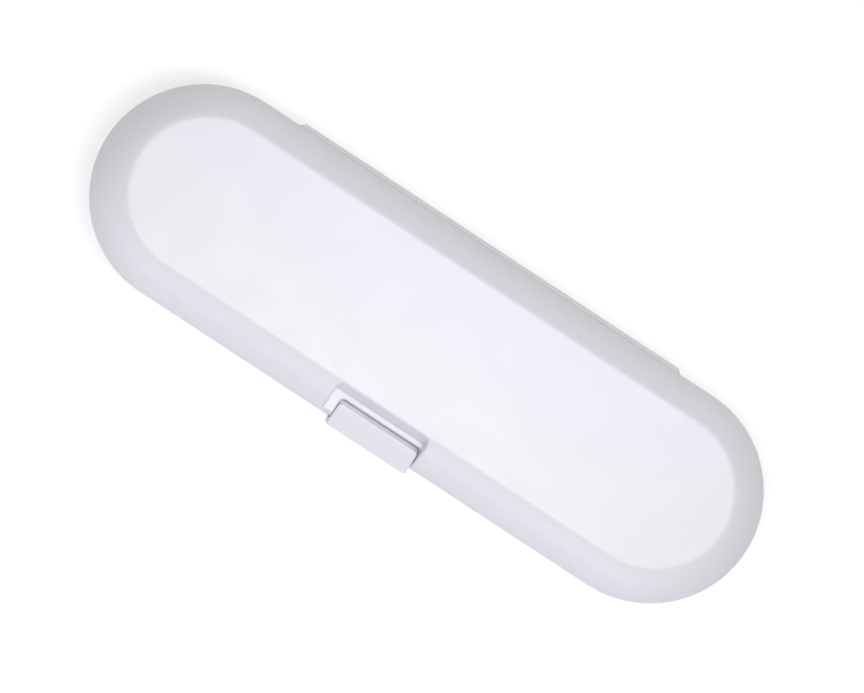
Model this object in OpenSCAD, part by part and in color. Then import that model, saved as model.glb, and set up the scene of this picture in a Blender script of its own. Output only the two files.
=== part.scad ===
// Travel case for an electric toothbrush: a pill-shaped clamshell of moulded plastic.
// The long back edge is hinged on one steel pin, the front is held by a pinned clasp,
// and a moulded tray inside carries the handle and two spare brush heads.
// X runs along the case, -Y is the clasp side, +Y is the hinge side, +Z is up.
// The origin is the middle of the flat face that the case rests on.

/* [Case] */
// Overall length of the two shells
case_length = 230; // [226:1:236]
// Overall width of the two shells, without hinge and clasp
case_width = 68.2; // [67.8:0.2:69]
// Overall height, closed
case_height = 39; // [38.6:0.2:39.6]
// Side wall thickness of the shells
wall = 2; // [1.9:0.1:2.1]
// Thickness of the flat top and the flat bottom
flat_wall = 2.2; // [2:0.1:2.4]
// Width of the curved rim round the flat, seen from above
rim_width = 9.7; // [9.5:0.1:10.5]
// Slope of the rim where it leaves the flat, in degrees
rim_slope = 25; // [23:1:27]
// Radius of the soft crease between the flat and the rim
crease_r = 3.5; // [2.5:0.5:5]
// Gap between the two shells at the parting line
parting_gap = 0.15; // [0.1:0.05:0.2]
// Chamfer on the outer edge of each shell at the parting line
edge_chamfer = 0.35; // [0.2:0.05:0.5]
// Height of the lip that stands up inside the lid
lip_height = 1.5; // [1:0.1:1.8]

/* [Hinge] */
// Length of the row of knuckles
barrel_length = 135.6; // [130:0.2:138]
// Offset of the row of knuckles from the middle of the case
hinge_offset = 0.5; // [0:0.1:1]
// Outer radius of a knuckle
knuckle_r = 1.6; // [1.55:0.05:1.65]
// Radius of the steel hinge pin
hinge_pin_r = 0.6; // [0.5:0.05:0.7]
// Radius of the hood that covers the knuckles from above
hood_r = 3.1; // [2.9:0.05:3.2]
// Distance of the hinge axis inside the shells' outline
hinge_inset = 0.6; // [0.5:0.05:0.65]

/* [Clasp] */
// Width of the clasp
clasp_width = 28.2; // [26:0.2:28.2]
// Offset of the clasp from the middle of the case
clasp_offset = 1.2; // [1:0.1:1.2]
// How far the clasp stands out from the front
clasp_proud = 3.2; // [3:0.1:3.4]
// Radius of the clasp's barrel
clasp_barrel_r = 2.2; // [2:0.1:2.3]
// Radius of the steel clasp pin
clasp_pin_r = 0.75; // [0.7:0.05:0.8]
// Width of the pocket in the lid's front rim, at its floor
pocket_width = 32.2; // [32.1:0.1:33]
// Offset of the pocket from the middle of the case
pocket_offset = -0.5; // [-0.5:0.1:0]
// Draft of the pocket's side walls, in degrees
pocket_draft = 1.5; // [1:0.5:3]
// Lean of the pocket's back wall, in degrees
pocket_lean = 9; // [6:1:10]

/* [Tray] */
// Radius of the brush handle that the tray holds
handle_r = 14; // [13.6:0.1:14]
// Distance of the handle's axis behind the middle of the case
handle_y = 14.5; // [14:0.1:14.8]
// Width of a bay for a spare brush head
bay_width = 19; // [18:0.5:19]
// Length of a bay for a spare brush head
bay_length = 86; // [80:1:87]
// Wall thickness of the tray
tray_wall = 1.5; // [1.4:0.1:1.5]
// Thickness of the soft pads that the handle lies on
pad_thickness = 1; // [0.9:0.1:1.1]

/* [Hidden] */
$fn = 96;
half_length = case_length / 2;
half_width = case_width / 2;
straight_half = half_length - half_width;
parting_z = case_height / 2;
rim_r = rim_width / (1 - sin(rim_slope));
rim_centre_r = half_width - rim_r;
rim_centre_h = parting_z - rim_r * cos(rim_slope);
crease_centre_h = parting_z - crease_r;
crease_rise = crease_centre_h - rim_centre_h;
crease_run = sqrt(pow(rim_r - crease_r, 2) - pow(crease_rise, 2));
crease_centre_r = rim_centre_r + crease_run;
cavity_half_width = half_width - wall;
running_gap = 0.05;
cut = 1;

hinge_y = half_width - hinge_inset;
knuckle_count = 5;
knuckle_gap = 0.25;
knuckle_pitch = (barrel_length + knuckle_gap) / knuckle_count;
knuckle_length = knuckle_pitch - knuckle_gap;
knuckle_clearance = 0.3;
knuckle_clearance_r = knuckle_r + knuckle_clearance;
hood_edge_angle = 50;
hood_root = 0.5;
hood_overlap = 1;
hood_chamfer = 1.4;
relief_r = 1.25;
relief_into_bends = 8;
relief_half_length = straight_half + relief_into_bends;

lip_gap = 0.25;
lip_thickness = 0.85;
lip_outer_r = cavity_half_width - lip_gap;
lip_inner_r = lip_outer_r - lip_thickness;
lip_foot = 2.5;
lip_back_y = 20;

clasp_front_y = -half_width - clasp_proud;
clasp_plate = 2.6;
clasp_back_y = clasp_front_y + clasp_plate;
clasp_top_z = 30.1;
clasp_lip_thickness = 2.6;
clasp_lip_low_z = clasp_top_z - clasp_lip_thickness;
clasp_lip_y = -29.5;
clasp_corner_r = 1.2;
clasp_crown_r = 20;
clasp_crown_slope = 8;
clasp_lean = 5.5;
clasp_pivot_y = -32;
clasp_pivot_z = 12;
clasp_foot_z = 15;
clasp_toe_angle = 40;
clasp_side_gap = 0.25;
clasp_pin_hold = 2.6;
clasp_pin_length = clasp_width + 2 * (clasp_side_gap + clasp_pin_hold);
clasp_bead_r = 0.7;
clasp_bead_y = clasp_lip_y - 1;
clasp_low_x = clasp_offset - clasp_width / 2;
clasp_high_x = clasp_offset + clasp_width / 2;
pocket_low_x = pocket_offset - pocket_width / 2;
pocket_high_x = pocket_offset + pocket_width / 2;
pocket_floor_z = 28.6;
pocket_back_y = -26.1;
pocket_corner_r = 2.5;
pocket_reach = 5;
pocket_front_y = -half_width - pocket_reach;
window_side_gap = 0.2;
window_floor_z = 27.2;
window_back_y = -28;
window_low_x = clasp_low_x - window_side_gap;
window_high_x = clasp_high_x + window_side_gap;
slot_front_y = -29.9;
slot_floor_z = 25;
slot_wall = 1.4;
bead_groove_r = 1;
recess_low_z = 8;
recess_high_z = 15.5;
recess_back_y = -28.4;
recess_wall = 1.5;
recess_gap = 0.3;

tray_top_z = 18.4;
tray_gap = 0.3;
tray_half_width = lip_inner_r - tray_gap;
trough_r = handle_r + pad_thickness;
handle_z = parting_z;
trough_low_x = -88;
trough_high_x = 72;
neck_r = 8;
neck_high_x = 100;
bay_y = -15.5;
bay_floor_z = 7;
bay_gap = 8;
bay_rib = 1.2;
bay_rib_height = 1;
bay_rib_pitch = 22;
pad_length = 16;
pad_half_angle = 55;
pad_x = [-62, 34];
lid_pad_half_angle = 40;
tray_rib = 1.2;
tray_rib_depth = 2.2;
tray_rib_low_z = 12;
front_rib_x = [-70, -35, 35, 70];
end_rib_angles = [-45, 0, 45];

// Sweeps a profile, drawn as radius and height, round the pill-shaped outline.
module pill_sweep() {
    for (side = [0, 1])
        mirror([side, 0, 0])
            translate([straight_half, 0, 0])
                rotate([0, 0, -90])
                    rotate_extrude(angle = 180)
                        children();
    translate([-straight_half, 0, 0])
        rotate([90, 0, 90])
            linear_extrude(2 * straight_half) {
                children();
                mirror([1, 0, 0]) children();
            }
}

// Half of a shell's section: upright side, rim arc and flat, moved in by the wall.
module dome_profile(side_inset, flat_inset) {
    intersection() {
        union() {
            translate([rim_centre_r, rim_centre_h]) circle(rim_r - side_inset);
            square([rim_centre_r, parting_z - flat_inset]);
            square([half_width - side_inset, rim_centre_h]);
        }
        square([half_width - side_inset, parting_z - flat_inset]);
    }
}

// The corner that a soft crease takes away between the flat and the rim.
module crease_corner() {
    difference() {
        polygon([
            [crease_centre_r, crease_centre_h],
            [crease_centre_r, parting_z + cut],
            [crease_centre_r + (crease_r + cut) * crease_run / crease_rise, parting_z + cut]
        ]);
        translate([crease_centre_r, crease_centre_h]) circle(crease_r);
    }
}

// The section of a shell's outside, with its edge chamfered at a height over the parting line.
module outer_profile(edge_h) {
    difference() {
        dome_profile(0, 0);
        crease_corner();
        polygon([
            [half_width - edge_chamfer, -cut],
            [half_width - edge_chamfer, edge_h],
            [half_width, edge_h + edge_chamfer],
            [half_width + cut, edge_h + edge_chamfer],
            [half_width + cut, -cut]
        ]);
    }
}

module dome(side_inset, flat_inset) {
    pill_sweep() dome_profile(side_inset, flat_inset);
}

// A dome standing on the parting line, as the lid does.
module upper_dome(side_inset, flat_inset) {
    translate([0, 0, parting_z]) dome(side_inset, flat_inset);
}

// A dome hanging from the parting line, as the base does.
module lower_dome(side_inset, flat_inset) {
    translate([0, 0, parting_z]) mirror([0, 0, 1]) dome(side_inset, flat_inset);
}

// A rod along X.
module x_rod(radius, length, x = 0, y = 0, z = 0) {
    translate([x, y, z])
        rotate([0, 90, 0])
            cylinder(h = length, r = radius, center = true);
}

// A block given by its lowest and highest corners.
module block(low, high) {
    translate(low) cube(high - low);
}

// A pocket that is open to the front, with its two back corners rounded and its walls at a draft.
// One flank's section is carried along each side and round its corner, and a prism fills the middle.
module front_pocket(low_x, high_x, back_y, low_z, high_z, corner_r, draft) {
    corner_y = back_y - corner_r;
    height = high_z - low_z;
    spread = height * tan(draft);
    flank = [[0, 0], [corner_r, 0], [corner_r + spread, height], [0, height]];
    for (side = [0, 1])
        translate([side == 0 ? high_x - corner_r : low_x + corner_r, corner_y, low_z])
            mirror([side, 0, 0]) {
                rotate_extrude(angle = 90) polygon(flank);
                rotate([90, 0, 0]) linear_extrude(corner_y - pocket_front_y) polygon(flank);
            }
    translate([low_x + corner_r, 0, low_z])
        rotate([90, 0, 90])
            linear_extrude(high_x - low_x - 2 * corner_r)
                polygon([
                    [pocket_front_y, 0], [back_y, 0], [back_y + spread, height], [pocket_front_y, height]
                ]);
}

// Puts its children on the hinge axis, at the middle of the row of knuckles.
module at_hinge() {
    translate([hinge_offset, hinge_y, parting_z]) children();
}

function knuckle_x(i) = -barrel_length / 2 + knuckle_length / 2 + i * knuckle_pitch;

// Knuckles with even numbers belong to the base and those with odd numbers to the lid.
module knuckles(first) {
    at_hinge()
        for (i = [first:2:knuckle_count - 1])
            x_rod(knuckle_r, knuckle_length, knuckle_x(i));
}

// Room for the other shell's knuckles.
module knuckle_room(first) {
    at_hinge()
        for (i = [first:2:knuckle_count - 1])
            x_rod(knuckle_clearance_r, knuckle_length + 2 * knuckle_gap, knuckle_x(i));
}

// Room beside the barrel for the two back walls to roll past each other.
module back_relief() {
    at_hinge()
        for (side = [-1, 1])
            x_rod(
                relief_r, relief_half_length - barrel_length / 2,
                side * (relief_half_length + barrel_length / 2) / 2
            );
}

module base_lip() {
    difference() {
        translate([0, 0, parting_z])
            pill_sweep()
                polygon([
                    [lip_inner_r, -lip_foot],
                    [cavity_half_width + wall / 2, -lip_foot],
                    [cavity_half_width + wall / 2, 0],
                    [lip_outer_r, 0],
                    [lip_outer_r, lip_height],
                    [lip_inner_r, lip_height]
                ]);
        block(
            [-half_length, lip_back_y, parting_z - lip_foot - cut],
            [half_length, half_width + cut, parting_z + lip_height + cut]
        );
    }
}

// A short upright rib from the middle of the wall inwards, at X = 0 on the front side.
module tray_rib_blade() {
    block(
        [-tray_rib / 2, -cavity_half_width - wall / 2, tray_rib_low_z],
        [tray_rib / 2, -cavity_half_width + tray_rib_depth, tray_top_z - tray_wall]
    );
}

// Ribs along the front wall and round both ends, which the tray's flange rests on.
module tray_ribs() {
    intersection() {
        lower_dome(wall / 2, flat_wall / 2);
        union() {
            for (x = front_rib_x)
                translate([x, 0, 0]) tray_rib_blade();
            for (side = [0, 1])
                mirror([side, 0, 0])
                    translate([straight_half, 0, 0])
                        for (angle = end_rib_angles)
                            rotate([0, 0, 90 + angle]) tray_rib_blade();
        }
    }
}

module clasp_boss() {
    intersection() {
        lower_dome(wall / 2, flat_wall / 2);
        block(
            [clasp_offset - clasp_pin_length / 2 - recess_wall, -half_width, 0],
            [
                clasp_offset + clasp_pin_length / 2 + recess_wall,
                recess_back_y + recess_wall, tray_top_z - tray_wall
            ]
        );
    }
}

module base_shell() {
    color("whitesmoke")
        difference() {
            union() {
                difference() {
                    translate([0, 0, parting_z]) mirror([0, 0, 1]) pill_sweep() outer_profile(0);
                    lower_dome(wall, flat_wall);
                }
                base_lip();
                tray_ribs();
                clasp_boss();
                difference() {
                    knuckles(0);
                    block(
                        [-half_length, 0, 0],
                        [half_length, cavity_half_width - knuckle_r, case_height]
                    );
                }
            }
            knuckle_room(1);
            back_relief();
            at_hinge() x_rod(hinge_pin_r, barrel_length + 2 * cut);
            block(
                [clasp_low_x - clasp_side_gap, -half_width - cut, recess_low_z],
                [clasp_high_x + clasp_side_gap, recess_back_y, recess_high_z]
            );
            x_rod(clasp_pin_r, clasp_pin_length, clasp_offset, clasp_pivot_y, clasp_pivot_z);
        }
}

// Section of the hood over the barrel, from the lid's wall to its free back edge.
module hood_section(inner_r) {
    intersection() {
        difference() {
            circle(hood_r);
            if (inner_r > 0) circle(inner_r);
        }
        polygon([
            [-hinge_inset - hood_root, 0],
            [0, 0],
            [2 * hood_r * cos(hood_edge_angle), 2 * hood_r * sin(hood_edge_angle)],
            [0, 2 * hood_r],
            [-hinge_inset - hood_root, 2 * hood_r]
        ]);
    }
}

module hood(inner_r, length, x = 0) {
    at_hinge()
        translate([x - length / 2, 0, 0])
            rotate([90, 0, 90])
                linear_extrude(length)
                    hood_section(inner_r);
}

module hood_end_chamfers() {
    at_hinge()
        for (side = [0, 1])
            mirror([side, 0, 0])
                translate([barrel_length / 2 + hood_overlap, hinge_inset, -cut])
                    linear_extrude(2 * hood_r)
                        polygon([
                            [0, 0], [cut, 0], [cut, hood_r],
                            [-hood_chamfer, hood_r], [-hood_chamfer, hood_chamfer]
                        ]);
}

// The pocket's shape: a shelf round the clasp, with nearly upright sides and a back wall that
// leans away from the clasp, all grown by a thickness.
module pocket_shape(grow, high_z) {
    low_z = pocket_floor_z - grow;
    low_back_y = pocket_back_y + grow;
    high_back_y = low_back_y + (high_z - low_z) * tan(pocket_lean);
    intersection() {
        front_pocket(
            pocket_low_x - grow, pocket_high_x + grow, high_back_y,
            low_z, high_z, pocket_corner_r + grow, pocket_draft
        );
        translate([-half_length, 0, 0])
            rotate([90, 0, 90])
                linear_extrude(case_length)
                    polygon([
                        [pocket_front_y - cut, low_z - cut],
                        [low_back_y - cut * tan(pocket_lean), low_z - cut],
                        [high_back_y + cut * tan(pocket_lean), high_z + cut],
                        [pocket_front_y - cut, high_z + cut]
                    ]);
    }
}

// The window in the shelf: a ledge that the clasp's lip reaches over.
module window_shape(grow, low_z, high_z) {
    front_pocket(
        window_low_x - grow, window_high_x + grow, window_back_y + grow,
        low_z, high_z, clasp_corner_r + grow, 0
    );
}

// The slot behind the ledge, which leaves the lip's edge free.
module slot_shape(grow, high_z) {
    intersection() {
        window_shape(grow, slot_floor_z - grow, high_z);
        block(
            [-half_length, slot_front_y - grow, slot_floor_z - grow - cut],
            [half_length, 0, high_z + cut]
        );
    }
}

module pocket_walls() {
    intersection() {
        upper_dome(wall / 2, flat_wall / 2);
        union() {
            pocket_shape(wall, case_height);
            window_shape(wall, window_floor_z - wall, pocket_floor_z);
            slot_shape(slot_wall, pocket_floor_z);
        }
    }
}

module lid_shell() {
    color("white")
        difference() {
            union() {
                difference() {
                    translate([0, 0, parting_z]) pill_sweep() outer_profile(parting_gap);
                    upper_dome(wall, flat_wall);
                }
                pocket_walls();
                hood(knuckle_clearance_r, barrel_length + 2 * hood_overlap);
                for (i = [1:2:knuckle_count - 1])
                    hood(0, knuckle_length, knuckle_x(i));
                knuckles(1);
            }
            block(
                [-half_length - cut, -half_width - cut, parting_z - cut],
                [half_length + cut, hinge_y - knuckle_r - knuckle_gap, parting_z + parting_gap]
            );
            knuckle_room(0);
            back_relief();
            hood_end_chamfers();
            at_hinge() x_rod(hinge_pin_r + running_gap, barrel_length + 2 * cut);
            pocket_shape(0, case_height + cut);
            window_shape(0, window_floor_z, pocket_floor_z + cut);
            slot_shape(0, pocket_floor_z);
            x_rod(bead_groove_r, window_high_x - window_low_x, clasp_offset, clasp_bead_y, clasp_lip_low_z);
        }
}

module hinge_pin() {
    color("silver")
        at_hinge() x_rod(hinge_pin_r, barrel_length);
}

module latch_pin() {
    color("silver")
        x_rod(clasp_pin_r, clasp_pin_length, clasp_offset, clasp_pivot_y, clasp_pivot_z);
}

// Section of the clasp in Y and Z: barrel, web, a plate that leans in towards its foot, and the
// lip that turns in over the ledge, under a top that is crowned like the rim.
module clasp_section() {
    lean = (clasp_top_z - clasp_foot_z) * tan(clasp_lean);
    translate([clasp_pivot_y, clasp_pivot_z]) circle(clasp_barrel_r);
    intersection() {
        polygon([
            [clasp_front_y, clasp_top_z],
            [clasp_front_y + lean, clasp_foot_z],
            [
                clasp_pivot_y - clasp_barrel_r * sin(clasp_toe_angle),
                clasp_pivot_z - clasp_barrel_r * cos(clasp_toe_angle)
            ],
            [clasp_pivot_y, clasp_pivot_z],
            [clasp_pivot_y, clasp_pivot_z + clasp_barrel_r],
            [clasp_back_y, recess_high_z - recess_gap],
            [clasp_back_y, clasp_lip_low_z],
            [clasp_lip_y, clasp_lip_low_z],
            [clasp_lip_y, clasp_top_z]
        ]);
        translate([
            clasp_lip_y + clasp_crown_r * sin(clasp_crown_slope),
            clasp_top_z - clasp_crown_r * cos(clasp_crown_slope)
        ])
            circle(clasp_crown_r);
    }
    translate([clasp_bead_y, clasp_lip_low_z]) circle(clasp_bead_r);
}

// Outline of the clasp seen from above: a rectangle with rounded corners.
module clasp_outline() {
    for (x = [clasp_low_x + clasp_corner_r, clasp_high_x - clasp_corner_r])
        for (y = [clasp_front_y + clasp_corner_r, clasp_lip_y - clasp_corner_r])
            translate([x, y]) circle(clasp_corner_r);
    translate([clasp_low_x + clasp_corner_r, clasp_front_y])
        square([clasp_width - 2 * clasp_corner_r, clasp_lip_y - clasp_front_y]);
    translate([clasp_low_x, clasp_front_y + clasp_corner_r])
        square([clasp_width, clasp_lip_y - clasp_front_y - 2 * clasp_corner_r]);
}

module latch_clasp() {
    color("white")
        difference() {
            intersection() {
                translate([clasp_low_x - cut, 0, 0])
                    rotate([90, 0, 90])
                        linear_extrude(clasp_width + 2 * cut)
                            clasp_section();
                linear_extrude(case_height) clasp_outline();
            }
            x_rod(
                clasp_pin_r + running_gap, clasp_width + 2 * cut,
                clasp_offset, clasp_pivot_y, clasp_pivot_z
            );
        }
}

// A pill-shaped plug with upright sides, used for the bays.
module bay_plug(radius, length, low_z, high_z, x, y) {
    translate([x, y, low_z]) {
        for (side = [-1, 1])
            translate([side * (length / 2 - radius), 0, 0])
                cylinder(h = high_z - low_z, r = radius);
        translate([-length / 2 + radius, -radius, 0])
            cube([length - 2 * radius, 2 * radius, high_z - low_z]);
    }
}

// Room for the handle: a round trough, open above, that narrows at the neck.
module trough_room(grow) {
    x_rod(
        trough_r + grow, trough_high_x - trough_low_x + 2 * grow,
        (trough_low_x + trough_high_x) / 2, handle_y, handle_z
    );
    x_rod(
        neck_r + grow, neck_high_x - trough_high_x + 2 * grow,
        (neck_high_x + trough_high_x) / 2, handle_y, handle_z
    );
}

function bay_x(i) = (i == 0 ? -1 : 1) * (bay_length + bay_gap) / 2;

// Low ribs across a bay's floor that keep a wet brush head off it.
module bay_ribs(i) {
    for (step = [-1, 0, 1])
        block(
            [bay_x(i) + step * bay_rib_pitch - bay_rib / 2, bay_y - bay_width, bay_floor_z - tray_wall / 2],
            [bay_x(i) + step * bay_rib_pitch + bay_rib / 2, bay_y + bay_width, bay_floor_z + bay_rib_height]
        );
}

module base_tray() {
    color("gainsboro")
        difference() {
            union() {
                translate([0, 0, tray_top_z - tray_wall])
                    pill_sweep() square([tray_half_width, tray_wall]);
                intersection() {
                    trough_room(tray_wall);
                    pill_sweep() square([tray_half_width, tray_top_z]);
                }
                for (i = [0, 1])
                    bay_plug(
                        bay_width / 2 + tray_wall, bay_length + 2 * tray_wall,
                        bay_floor_z - tray_wall, tray_top_z, bay_x(i), bay_y
                    );
            }
            trough_room(0);
            for (i = [0, 1])
                difference() {
                    bay_plug(bay_width / 2, bay_length, bay_floor_z, case_height, bay_x(i), bay_y);
                    bay_ribs(i);
                }
        }
}

// A soft pad curved round the handle, spanning an angle on each side of straight down.
module round_pad(inner_r, outer_r, half_angle, x) {
    translate([x - pad_length / 2, handle_y, handle_z])
        rotate([90, 0, 90])
            rotate([0, 0, -90 - half_angle])
                rotate_extrude(angle = 2 * half_angle)
                    translate([inner_r, 0])
                        square([outer_r - inner_r, pad_length]);
}

module handle_pad(i) {
    color("darkgray")
        round_pad(handle_r, trough_r, pad_half_angle, pad_x[i]);
}

// A soft block under the lid, hollowed to the handle.
module lid_pad(i) {
    half_pad_width = handle_r * sin(lid_pad_half_angle);
    edge_rise = handle_r * cos(lid_pad_half_angle);
    color("darkgray")
        difference() {
            block(
                [pad_x[i] - pad_length / 2, handle_y - half_pad_width, handle_z + edge_rise],
                [pad_x[i] + pad_length / 2, handle_y + half_pad_width, case_height - flat_wall]
            );
            x_rod(handle_r, pad_length + 2 * cut, pad_x[i], handle_y, handle_z);
        }
}

base_shell();
base_tray();
handle_pad(0);  // handle_pad_1
handle_pad(1);  // handle_pad_2
hinge_pin();
latch_pin();
lid_shell();
lid_pad(0);  // lid_pad_1
lid_pad(1);  // lid_pad_2
latch_clasp();
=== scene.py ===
import math

import bpy
import numpy as np
from mathutils import Matrix, Vector


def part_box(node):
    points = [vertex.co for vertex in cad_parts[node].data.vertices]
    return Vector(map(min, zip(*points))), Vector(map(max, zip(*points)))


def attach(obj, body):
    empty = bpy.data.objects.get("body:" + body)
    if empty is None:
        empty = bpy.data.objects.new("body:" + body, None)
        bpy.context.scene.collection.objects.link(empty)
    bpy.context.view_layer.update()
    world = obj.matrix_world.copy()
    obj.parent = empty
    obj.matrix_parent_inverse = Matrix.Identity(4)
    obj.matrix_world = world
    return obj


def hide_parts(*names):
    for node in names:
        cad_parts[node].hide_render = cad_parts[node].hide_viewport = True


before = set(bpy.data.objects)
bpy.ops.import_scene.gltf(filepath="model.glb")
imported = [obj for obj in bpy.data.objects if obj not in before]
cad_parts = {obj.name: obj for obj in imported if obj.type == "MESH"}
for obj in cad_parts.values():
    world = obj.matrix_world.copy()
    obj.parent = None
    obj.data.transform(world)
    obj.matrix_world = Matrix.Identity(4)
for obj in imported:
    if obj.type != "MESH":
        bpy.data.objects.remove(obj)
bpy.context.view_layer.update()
MM = 0.001


# Base shell: the lower half of the case, injection moulded in white ABS together with its hinge
# knuckles, the lip at the parting line and the recess for the clasp. The mould was spark-eroded
# to a fine satin, and hands and tables have rubbed its edges a little smoother.
def place(tree, kind, sockets=None, **settings):
    """Adds a shader node, sets its options, and gives each named socket a value or a link."""
    made = tree.nodes.new("ShaderNode" + kind)
    for option, value in settings.items():
        setattr(made, option, value)
    for socket, value in (sockets or {}).items():
        if isinstance(value, bpy.types.NodeSocket):
            tree.links.new(value, made.inputs[socket])
        else:
            made.inputs[socket].default_value = value
    return made


def arithmetic(tree, operation, first, second=0.0, third=0.0):
    """One Math node, and the socket that it gives."""
    return place(tree, "Math", {0: first, 1: second, 2: third}, operation=operation).outputs[0]


def rescale(tree, value, low, high, to_low, to_high):
    """Carries a value from one range to another, smoothly and without leaving it."""
    made = place(
        tree, "MapRange",
        {"Value": value, "From Min": low, "From Max": high, "To Min": to_low, "To Max": to_high},
        interpolation_type="SMOOTHSTEP",
    )
    return made.outputs["Result"]


def blend_colours(tree, share, first, second):
    """Mixes two colours by a share, and gives the socket of the result."""
    return place(tree, "Mix", {0: share, 6: first, 7: second}, data_type="RGBA").outputs[2]


def noise(tree, where, scale, detail, distortion=0.0):
    """One Noise Texture node, and the socket of its value."""
    sockets = {"Vector": where, "Scale": scale, "Detail": detail, "Distortion": distortion}
    return place(tree, "TexNoise", sockets).outputs["Fac"]


def effect_group(name, inputs, outputs):
    """A shader node group with the given inputs at their usual values: tree, inputs and outputs."""
    group = bpy.data.node_groups.new(name, "ShaderNodeTree")
    for label, value in inputs.items():
        made = group.interface.new_socket(label, in_out="INPUT", socket_type="NodeSocketFloat")
        made.default_value = value
    for label, kind in outputs.items():
        group.interface.new_socket(label, in_out="OUTPUT", socket_type="NodeSocket" + kind)
    given = group.nodes.new("NodeGroupInput").outputs
    result = group.nodes.new("NodeGroupOutput").inputs
    return group, given, result


def empty_material(name):
    """A material whose node tree holds nothing yet."""
    material = bpy.data.materials.new(name)
    material.use_nodes = True
    material.node_tree.nodes.clear()
    return material


def finish_material(material, shader):
    """Leads a shader to the material's surface."""
    tree = material.node_tree
    tree.links.new(shader.outputs[0], place(tree, "OutputMaterial").inputs["Surface"])
    return material


def soft_edges():
    """Edge rounding, and a mask of edges for wear and painted bounce light: the normal of a rounded edge,
    and where it is.

    The mask follows how well the rounded and the plain normal agree, as their dot product. It takes outer
    edges and inner corners alike, so the lighter colour laid on it is wear on outer edges and painted bounce
    light in inner corners.
    """
    agreement_on_faces = 0.995
    agreement_on_edges = 0.85
    tree, given, result = effect_group(
        "Rounded edges, rubbed and bounce lit",
        {"Radius": 0.3 * MM, "Wear and bounce light radius": 0.8 * MM},
        {"Normal": "Vector", "Edge": "Float"},
    )
    rounded = place(tree, "Bevel", {"Radius": given["Radius"]}, samples=6)
    wide = place(tree, "Bevel", {"Radius": given["Wear and bounce light radius"]}, samples=4)
    plain = place(tree, "NewGeometry").outputs["Normal"]
    agreement = place(tree, "VectorMath", {0: wide.outputs[0], 1: plain}, operation="DOT_PRODUCT")
    edge = rescale(tree, agreement.outputs["Value"], agreement_on_faces, agreement_on_edges, 0.0, 1.0)
    tree.links.new(rounded.outputs[0], result["Normal"])
    tree.links.new(edge, result["Edge"])
    return tree


def moulded_surface():
    """Moulding's marks: fine spark-eroded grain, slow sink waves and smears left by fingers."""
    smears_per_metre = 55.0
    tones_per_metre = 18.0
    least_smear = 0.35
    most_smear = 0.7
    tree, given, result = effect_group(
        "Moulded surface",
        {"Grain size": 0.25 * MM, "Grain depth": 0.004 * MM, "Wave size": 30 * MM, "Wave depth": 0.02 * MM},
        {"Height": "Float", "Smear": "Float", "Tone": "Float"},
    )
    where = place(tree, "TexCoord").outputs["Object"]
    grain = noise(tree, where, arithmetic(tree, "DIVIDE", 1.0, given["Grain size"]), detail=2.0)
    wave = noise(tree, where, arithmetic(tree, "DIVIDE", 1.0, given["Wave size"]), detail=1.0)
    height = arithmetic(
        tree, "ADD",
        arithmetic(tree, "MULTIPLY", grain, given["Grain depth"]),
        arithmetic(tree, "MULTIPLY", wave, given["Wave depth"]),
    )
    smear = noise(tree, where, smears_per_metre, detail=5.0, distortion=1.5)
    tone = noise(tree, where, tones_per_metre, detail=3.0)
    tree.links.new(height, result["Height"])
    tree.links.new(rescale(tree, smear, least_smear, most_smear, 0.0, 1.0), result["Smear"])
    tree.links.new(tone, result["Tone"])
    return tree


def pin_marks():
    """Marks of the mould's ejector pins on faces that look down: rows of sunk discs with a fine rim."""
    sunk_share = 0.6
    looks_down_below = -0.95
    tree, given, result = effect_group(
        "Ejector pin marks",
        {
            "Spacing X": 46 * MM, "Spacing Y": 17 * MM, "Mark radius": 3 * MM,
            "Rim width": 0.4 * MM, "Depth": 0.15 * MM,
        },
        {"Height": "Float"},
    )
    coordinates = place(tree, "TexCoord").outputs
    parts = place(tree, "SeparateXYZ", {0: coordinates["Object"]}).outputs
    squares = []
    for axis in ("X", "Y"):
        spacing = given["Spacing " + axis]
        steps = arithmetic(tree, "ADD", arithmetic(tree, "DIVIDE", parts[axis], spacing), 0.5)
        share = arithmetic(tree, "SUBTRACT", arithmetic(tree, "FRACT", steps), 0.5)
        offset = arithmetic(tree, "MULTIPLY", share, spacing)
        squares.append(arithmetic(tree, "MULTIPLY", offset, offset))
    distance = arithmetic(tree, "SQRT", arithmetic(tree, "ADD", *squares))
    inwards = arithmetic(tree, "SUBTRACT", given["Mark radius"], distance)
    off_rim = rescale(tree, arithmetic(tree, "ABSOLUTE", inwards), 0.0, given["Rim width"], 0.0, 1.0)
    disc = rescale(tree, inwards, 0.0, given["Rim width"], 0.0, 1.0)
    rim = arithmetic(tree, "SUBTRACT", 1.0, off_rim)
    relief = arithmetic(tree, "MULTIPLY_ADD", disc, -sunk_share, rim)
    upwards = place(tree, "SeparateXYZ", {0: coordinates["Normal"]}).outputs["Z"]
    facing = arithmetic(tree, "LESS_THAN", upwards, looks_down_below)
    height = arithmetic(tree, "MULTIPLY", arithmetic(tree, "MULTIPLY", relief, given["Depth"]), facing)
    tree.links.new(height, result["Height"])
    return tree


EDGES = soft_edges()
MOULDED = moulded_surface()
PIN_MARKS = pin_marks()


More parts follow.
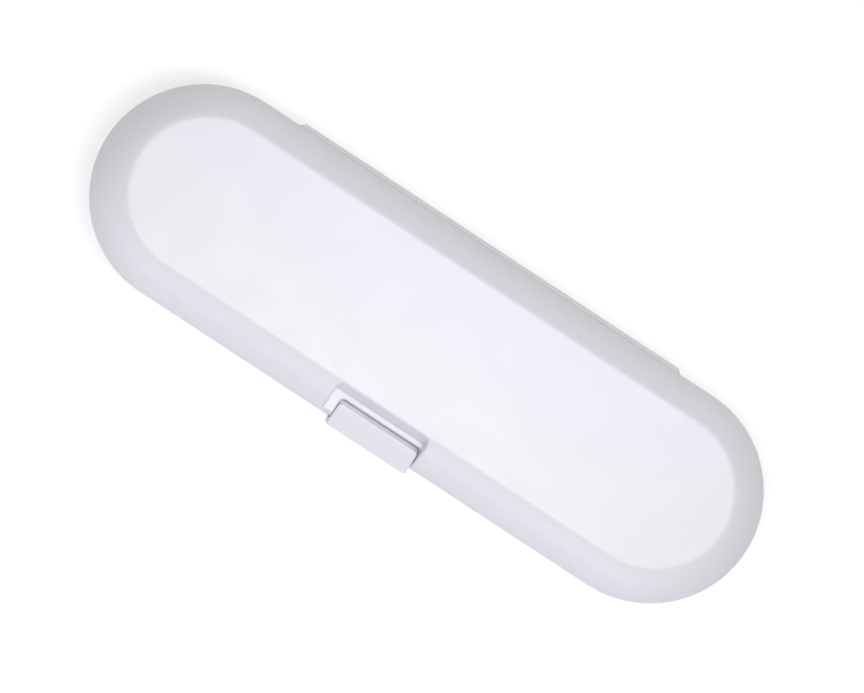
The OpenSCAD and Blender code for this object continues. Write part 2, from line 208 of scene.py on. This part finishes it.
def moulded_plastic(
    name, colour, worn_and_bounce_lit_colour, roughness, rubbed_roughness, edge_radius, grain_size, grain_depth, milkiness,
    pin_marked=False,
):
    """A moulded plastic: its tone drifts, smears change its gloss, and its edges are round and rubbed, with
    a lighter colour that is wear on outer edges and painted bounce light in inner corners.
    """
    darkest_share = 0.985
    wear_and_bounce_share = 0.6
    smeared_share = 0.9
    material = empty_material(name)
    tree = material.node_tree
    edges = place(tree, "Group", node_tree=EDGES)
    edges.inputs["Radius"].default_value = edge_radius
    surface = place(tree, "Group", node_tree=MOULDED)
    surface.inputs["Grain size"].default_value = grain_size
    surface.inputs["Grain depth"].default_value = grain_depth
    darker = tuple(darkest_share * part for part in colour[:3]) + (1.0,)
    tinted = blend_colours(tree, surface.outputs["Tone"], darker, colour)
    # Lighter colour on the edge mask: wear on outer edges, painted bounce light in inner corners.
    wear_and_bounce_light = arithmetic(tree, "MULTIPLY", edges.outputs["Edge"], wear_and_bounce_share)
    smeared = rescale(tree, surface.outputs["Smear"], 0.0, 1.0, roughness, roughness * smeared_share)
    gloss = place(
        tree, "Mix", {0: edges.outputs["Edge"], 2: smeared, 3: rubbed_roughness}, data_type="FLOAT"
    ).outputs[0]
    height = surface.outputs["Height"]
    if pin_marked:
        height = arithmetic(tree, "ADD", height, place(tree, "Group", node_tree=PIN_MARKS).outputs["Height"])
    bump = place(
        tree, "Bump", {"Strength": 1.0, "Distance": 1.0, "Height": height, "Normal": edges.outputs["Normal"]}
    )
    shader = place(
        tree, "BsdfPrincipled",
        {
            "Base Color": blend_colours(tree, wear_and_bounce_light, tinted, worn_and_bounce_lit_colour), "Roughness": gloss, "IOR": 1.54,
            "Normal": bump.outputs[0], "Subsurface Weight": milkiness, "Subsurface Scale": 1.2 * MM,
            "Subsurface Radius": (1.0, 0.9, 0.8),
        },
    )
    return finish_material(material, shader)


def dress(node, material):
    """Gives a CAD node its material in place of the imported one."""
    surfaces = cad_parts[node].data.materials
    surfaces.clear()
    surfaces.append(material)


SHELL_FINISH = dict(
    colour=(0.865, 0.863, 0.92, 1.0), worn_and_bounce_lit_colour=(0.875, 0.874, 0.93, 1.0),
    roughness=0.33, rubbed_roughness=0.28, edge_radius=1.0 * MM,
    grain_size=0.22 * MM, grain_depth=0.003 * MM, milkiness=0.1,
)
dress("base_shell", moulded_plastic("satin white shell plastic", **SHELL_FINISH))


# Base tray: a thinner moulded insert with a trough for the handle and two bays for spare heads,
# in a slightly greyer plastic with a duller grain. It rests on the base's ribs.
tray_plastic = moulded_plastic(
    "matt pale grey tray plastic",
    colour=(0.72, 0.73, 0.755, 1.0), worn_and_bounce_lit_colour=(0.78, 0.785, 0.80, 1.0),
    roughness=0.52, rubbed_roughness=0.42, edge_radius=0.4 * MM,
    grain_size=0.35 * MM, grain_depth=0.008 * MM, milkiness=0.04,
)
dress("base_tray", tray_plastic)


# Handle pads: two soft grey rubber pads, moulded with grip ribs, glued in the trough where the
# toothbrush handle lies. Each is a curved strip whose ribs run across the handle.
def ringed_mesh(name, rings, closed_ends=True):
    """A skin through a stack of closed rings of points, each end shut by one flat face if wanted."""
    rings = np.asarray(rings, float)
    count, around, _ = rings.shape
    lower = np.arange((count - 1) * around).reshape(count - 1, around)
    turned = np.roll(lower, -1, axis=1)
    faces = np.stack([lower, turned, turned + around, lower + around], axis=-1).reshape(-1, 4).tolist()
    if closed_ends:
        faces.append(list(range(around))[::-1])
        faces.append(list(range((count - 1) * around, count * around)))
    mesh = bpy.data.meshes.new(name)
    mesh.from_pydata(rings.reshape(-1, 3).tolist(), [], faces)
    mesh.update()
    piece = bpy.data.objects.new(name, mesh)
    bpy.context.scene.collection.objects.link(piece)
    return piece


def rubber(name, colour):
    """Soft matt rubber: a fine dusty bloom over a dull base, with speckles of moulding grain."""
    bloom_gain = 1.25
    bloom_share = 0.5
    clean_roughness = 0.62
    dusty_roughness = 0.8
    material = empty_material(name)
    tree = material.node_tree
    surface = place(tree, "Group", node_tree=MOULDED)
    surface.inputs["Grain size"].default_value = 0.3 * MM
    surface.inputs["Grain depth"].default_value = 0.02 * MM
    dust = surface.outputs["Smear"]
    bloom = tuple(min(1.0, bloom_gain * part) for part in colour[:3]) + (1.0,)
    shade = blend_colours(tree, arithmetic(tree, "MULTIPLY", dust, bloom_share), colour, bloom)
    bump = place(tree, "Bump", {"Strength": 1.0, "Distance": 1.0, "Height": surface.outputs["Height"]})
    shader = place(
        tree, "BsdfPrincipled",
        {
            "Base Color": shade, "IOR": 1.45, "Normal": bump.outputs[0], "Sheen Weight": 0.15,
            "Roughness": rescale(tree, dust, 0.0, 1.0, clean_roughness, dusty_roughness),
        },
    )
    return finish_material(material, shader)


pad_rubber = rubber("soft grey pad rubber", (0.30, 0.31, 0.33, 1.0))
HANDLE_Y = 14.5 * MM
HANDLE_Z = 19.5 * MM
HANDLE_R = 14.0 * MM
TROUGH_R = 15.0 * MM
PAD_HALF_ANGLE = math.radians(55)
RIB_COUNT = 7
RIB_HEIGHT = 0.45 * MM
POINTS_PER_RIB = 12


def rib_heights(along):
    """Height of the grip ribs by the share of the pad's length: a squared sine for each rib."""
    return RIB_HEIGHT * np.sin(math.pi * RIB_COUNT * along) ** 2


def rounded_strip_rings(low_x, high_x):
    """Rings of a ribbed strip bent round the handle's axis.

    A ring is the strip's section at one angle: along the inner face, whose radius falls by the
    height of the ribs, then back along the outer face. Near both ends of its length the inner
    face drops along a quarter circle. Towards both side edges the section shrinks to the outer
    face, also along a quarter circle, down to a least share of its height.
    """
    end_rounding = 0.35 * MM
    side_share = 0.03
    middle_share = 0.96
    least_height = 0.3
    side_places = 6
    middle_places = 60
    along = np.linspace(0.0, 1.0, POINTS_PER_RIB * RIB_COUNT)
    from_end = (high_x - low_x) * np.minimum(along, 1 - along)
    into_rounding = np.clip(end_rounding - from_end, 0, None)
    shoulder = end_rounding - np.sqrt(np.clip(end_rounding**2 - into_rounding**2, 0, None))
    inner = HANDLE_R + RIB_HEIGHT - rib_heights(along) + shoulder
    line_x = low_x + (high_x - low_x) * along
    x = np.concatenate([line_x, line_x[::-1]])
    radius = np.concatenate([inner, np.full(len(along), TROUGH_R)])
    side = side_share * (1 - np.cos(np.linspace(0, math.pi / 2, side_places)))
    middle = np.linspace(-middle_share, middle_share, middle_places)
    spread = np.concatenate([side - 1, middle, 1 - side[::-1]])
    into_side = np.clip(np.abs(spread) - (1 - side_share), 0, None) / side_share
    height = np.maximum(np.sqrt(np.clip(1 - into_side**2, 0, 1)), least_height)
    angle = spread * PAD_HALF_ANGLE
    ring_r = TROUGH_R - (TROUGH_R - radius)[None, :] * height[:, None]
    return np.stack([
        np.broadcast_to(x, ring_r.shape),
        HANDLE_Y + ring_r * np.sin(angle)[:, None],
        HANDLE_Z - ring_r * np.cos(angle)[:, None],
    ], axis=-1)


for number in (1, 2):
    node = f"handle_pad_{number}"
    low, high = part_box(node)
    pad = ringed_mesh(f"ribbed_pad_{number}", rounded_strip_rings(low.x, high.x))
    pad.data.materials.append(pad_rubber)
    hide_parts(node)
    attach(pad, "base")


# Pins: bright drawn steel rods, cut to length. The long one runs through all hinge knuckles and
# the short one carries the clasp. Drawing leaves fine lines along them.
def drawn_steel(name, colour):
    """Drawn steel: thin lines along X in the gloss and the bump, and a slight dull film."""
    lines_per_metre = (40.0, 4000.0, 4000.0)
    film_per_metre = 300.0
    dull_share = 0.85
    lowest_line = 0.3
    highest_line = 0.7
    bright_roughness = 0.22
    dull_roughness = 0.4
    material = empty_material(name)
    tree = material.node_tree
    where = place(tree, "TexCoord").outputs["Object"]
    stretched = place(tree, "Mapping", {"Vector": where, "Scale": lines_per_metre})
    lines = noise(tree, stretched.outputs[0], 1.0, detail=3.0)
    film = noise(tree, where, film_per_metre, detail=2.0)
    dull = tuple(dull_share * part for part in colour[:3]) + (1.0,)
    bump = place(tree, "Bump", {"Strength": 1.0, "Distance": 0.004 * MM, "Height": lines})
    shader = place(
        tree, "BsdfPrincipled",
        {
            "Base Color": blend_colours(tree, film, dull, colour), "Metallic": 1.0,
            "Roughness": rescale(tree, lines, lowest_line, highest_line, bright_roughness, dull_roughness),
            "Normal": bump.outputs[0],
        },
    )
    return finish_material(material, shader)


pin_steel = drawn_steel("bright drawn pin steel", (0.62, 0.62, 0.63, 1.0))


def pin_rings(low, high, around=32):
    """Rings of a rod along X whose two ends are chamfered: the radius falls just before each end."""
    chamfer = 0.2 * MM
    radius = (high.z - low.z) / 2
    middle_y = (low.y + high.y) / 2
    middle_z = (low.z + high.z) / 2
    x = np.array([low.x, low.x + chamfer, high.x - chamfer, high.x])[:, None]
    ring_r = np.array([radius - chamfer, radius, radius, radius - chamfer])[:, None]
    turn = np.linspace(0, 2 * math.pi, around, endpoint=False)
    return np.stack([
        np.broadcast_to(x, (len(x), around)),
        middle_y + ring_r * np.cos(turn),
        middle_z + ring_r * np.sin(turn),
    ], axis=-1)


for node in ("hinge_pin", "latch_pin"):
    pin = ringed_mesh(f"steel_{node}", pin_rings(*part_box(node)))
    pin.data.materials.append(pin_steel)
    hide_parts(node)
    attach(pin, "base")


# Lid shell: the upper half, moulded in the same white ABS as the base, with its flat top, the
# stepped pocket for the clasp and the hood over the hinge in one piece. The pins that pushed it
# out of the mould have left rows of round marks inside.
dress("lid_shell", moulded_plastic("satin white lid plastic", pin_marked=True, **SHELL_FINISH))


# Lid pads: two rubber blocks under the lid that hold the handle down. Each is hollowed to the
# handle and has the same grip ribs as the pads below.
def block_rings(low, high, places_across=48):
    """Rings of a block under the lid: flat above, hollowed to the handle below, with ribs.

    A ring lies at one place across the handle. It runs along the hollow, whose height follows
    the handle's circle less the height of the ribs, and back along the flat top.
    """
    along = np.linspace(0.0, 1.0, POINTS_PER_RIB * RIB_COUNT)
    across = np.linspace(low.y, high.y, places_across)[:, None]
    hollow = HANDLE_Z + np.sqrt(HANDLE_R**2 - (across - HANDLE_Y) ** 2)
    below = hollow + RIB_HEIGHT - rib_heights(along)
    above = np.full_like(below, high.z)
    line_x = low.x + (high.x - low.x) * along
    shape = (places_across, 2 * len(along))
    return np.stack([
        np.broadcast_to(np.concatenate([line_x, line_x[::-1]]), shape),
        np.broadcast_to(across, shape),
        np.concatenate([below, above], axis=1),
    ], axis=-1)


for number in (1, 2):
    node = f"lid_pad_{number}"
    pad = ringed_mesh(f"ribbed_lid_pad_{number}", block_rings(*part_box(node)))
    rounding = pad.modifiers.new("rounded edges", "BEVEL")
    rounding.width = 0.3 * MM
    rounding.segments = 3
    rounding.limit_method = "ANGLE"
    rounding.angle_limit = math.radians(50)
    pad.data.materials.append(pad_rubber)
    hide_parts(node)
    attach(pad, "lid")


# Clasp: a moulded hook that turns on its pin in the base's recess and snaps over the ledge in
# the lid's pocket. It is the shells' white plastic with crisper edges; its colour is a trace lighter
# and bluer than the shells', painted light for the front light that falls on it.
clasp_plastic = moulded_plastic(
    "satin white clasp plastic",
    # A trace lighter and bluer than the shells' colour: painted light from the front.
    colour=(0.868, 0.87, 0.94, 1.0), worn_and_bounce_lit_colour=(0.878, 0.88, 0.945, 1.0),
    roughness=0.33, rubbed_roughness=0.28, edge_radius=0.8 * MM,
    grain_size=0.22 * MM, grain_depth=0.002 * MM, milkiness=0.1,
)
dress("latch_clasp", clasp_plastic)


# Table: a wide white sheet of paper. What the camera sees of it is lifted to white away from
# the case, while the case's own soft shadow stays. The sheet is clear from below and has an
# opening where the case stands on it, so that the underside can be looked at.
SHEET_R = 6.0
SHEET_Z = -0.05 * MM
OPENING_STRAIGHT_HALF = 80.9 * MM
OPENING_R = 24.0 * MM


def sheet_rings(around=128):
    """Two rings of a level sheet: its wide round edge and the pill-shaped opening under the case.

    The opening is a circle whose two halves are moved apart along X.
    """
    turn = (np.arange(around) + 0.5) * 2 * math.pi / around
    x, y = np.cos(turn), np.sin(turn)
    z = np.full(around, SHEET_Z)
    edge = np.stack([SHEET_R * x, SHEET_R * y, z], axis=-1)
    opening = np.stack([OPENING_R * x + OPENING_STRAIGHT_HALF * np.sign(x), OPENING_R * y, z], axis=-1)
    return np.stack([edge, opening])


def table_paper():
    """White paper: diffuse, with a glow for the camera that lifts its shade, and clear from below."""
    camera_lift = 0.38
    material = empty_material("white paper")
    tree = material.node_tree
    paper = place(tree, "BsdfDiffuse", {"Color": (0.93, 0.93, 0.93, 1.0)})
    lift = arithmetic(tree, "MULTIPLY", place(tree, "LightPath").outputs["Is Camera Ray"], camera_lift)
    glow = place(tree, "Emission", {"Color": (1.0, 1.0, 1.0, 1.0), "Strength": lift})
    both = place(tree, "AddShader", {0: paper.outputs[0], 1: glow.outputs[0]})
    below = place(tree, "NewGeometry").outputs["Backfacing"]
    clear = place(tree, "BsdfTransparent")
    shown = place(tree, "MixShader", {0: below, 1: both.outputs[0], 2: clear.outputs[0]})
    return finish_material(material, shown)


table = ringed_mesh("table", sheet_rings(), closed_ends=False)
table.data.materials.append(table_paper())


# Light: a white tent round the case, brighter in front than behind and dimmer at both ends, a
# softbox overhead that whitens the lid's flat top, a blue one behind it that the top mirrors,
# and a low strip on each long side.
def tent():
    """The tent's brightness by direction: a level, slopes to front and right, and dim ends."""
    level = 0.59
    slope_to_back = -0.18
    slope_to_right = 0.035
    end_drop = -0.2
    back_tint = (1.02, 0.99, 0.95, 1.0)
    front_tint = (0.98, 0.985, 1.035, 1.0)
    white = (1.0, 1.0, 1.0, 1.0)
    world = bpy.data.worlds.new("tent")
    bpy.context.scene.world = world
    world.use_nodes = True
    tree = world.node_tree
    tree.nodes.clear()
    direction = place(tree, "TexCoord").outputs["Generated"]
    parts = place(tree, "SeparateXYZ", {0: direction}).outputs
    ends = arithmetic(tree, "MULTIPLY", arithmetic(tree, "MULTIPLY", parts["X"], parts["X"]), end_drop)
    value = arithmetic(tree, "MULTIPLY_ADD", parts["Y"], slope_to_back, level)
    value = arithmetic(tree, "MULTIPLY_ADD", parts["X"], slope_to_right, value)
    value = arithmetic(tree, "ADD", value, ends)
    camera_ray = place(tree, "LightPath").outputs["Is Camera Ray"]
    seen = place(tree, "Mix", {0: camera_ray, 2: value, 3: 1.0}, data_type="FLOAT").outputs[0]
    forward = arithmetic(tree, "MULTIPLY_ADD", parts["Y"], -0.5, 0.5)
    tint = blend_colours(tree, forward, back_tint, front_tint)
    shown = blend_colours(tree, camera_ray, tint, white)
    glow = place(tree, "Background", {"Color": shown, "Strength": seen})
    tree.links.new(glow.outputs[0], place(tree, "OutputWorld").inputs["Surface"])


tent()


def softbox(name, middle, aim, width, depth, watts, colour, lights_dull_faces=True):
    """A rectangular lamp at a place, turned to shine at a point, or one that is only mirrored."""
    lamp = bpy.data.lights.new(name, "AREA")
    lamp.shape = "RECTANGLE"
    lamp.size = width
    lamp.size_y = depth
    lamp.energy = watts
    lamp.color = colour
    holder = bpy.data.objects.new(name, lamp)
    bpy.context.scene.collection.objects.link(holder)
    holder.location = middle
    holder.rotation_mode = "QUATERNION"
    holder.rotation_quaternion = (Vector(aim) - Vector(middle)).to_track_quat("-Z", "Y")
    holder.visible_camera = False
    holder.visible_diffuse = lights_dull_faces


softbox(
    "overhead softbox", middle=(0.028, -0.02, 0.55), aim=(0.028, -0.01, 0.04),
    width=0.24, depth=0.13, watts=0.8, colour=(1.01, 1.0, 0.96),
)
softbox(
    "blue softbox", middle=(0.028, 0.13, 0.5), aim=(0.028, 0.1, 0.04),
    width=0.24, depth=0.11, watts=0.75, colour=(0.42, 0.52, 1.0), lights_dull_faces=False,
)
softbox(
    "front strip", middle=(0.0, -1.0, 0.25), aim=(0.0, 0.0, 0.03),
    width=1.2, depth=0.4, watts=1.0, colour=(0.94, 0.97, 1.15),
)
softbox(
    "back strip", middle=(0.0, 1.0, 0.25), aim=(0.0, 0.0, 0.03),
    width=1.2, depth=0.4, watts=0.7, colour=(1.0, 0.99, 0.97),
)


# Camera: nearly straight above the case, a little to its front and left, with a long lens. The
# case's length runs down to the right at 33 degrees in the picture.
IMAGE_WIDTH = 864
PIXEL = 0.302 * MM
TO_CAMERA = np.array([-0.061, -0.051, 1.0])
PICTURE_TURN = math.radians(33.25)
AIM = np.array([1.68, 0.2, 21.0]) * MM
DISTANCE = 5.0
SENSOR = 36.0

to_camera = TO_CAMERA / np.linalg.norm(TO_CAMERA)
length_way = np.array([1.0, 0.0, 0.0]) - to_camera[0] * to_camera
length_way /= np.linalg.norm(length_way)
width_way = np.cross(to_camera, length_way)
right = math.cos(PICTURE_TURN) * length_way + math.sin(PICTURE_TURN) * width_way
up = math.cos(PICTURE_TURN) * width_way - math.sin(PICTURE_TURN) * length_way
lens = bpy.data.cameras.new("camera")
lens.sensor_width = SENSOR
lens.lens = SENSOR * DISTANCE / (IMAGE_WIDTH * PIXEL)
lens.clip_end = 10 * DISTANCE
camera = bpy.data.objects.new("camera", lens)
bpy.context.scene.collection.objects.link(camera)
camera_frame = np.eye(4)
camera_frame[:3, :3] = np.stack([right, up, to_camera], axis=1)
camera_frame[:3, 3] = AIM + DISTANCE * to_camera
camera.matrix_world = Matrix(camera_frame.tolist())
bpy.context.scene.camera = camera
bpy.context.scene.view_settings.view_transform = "Standard"
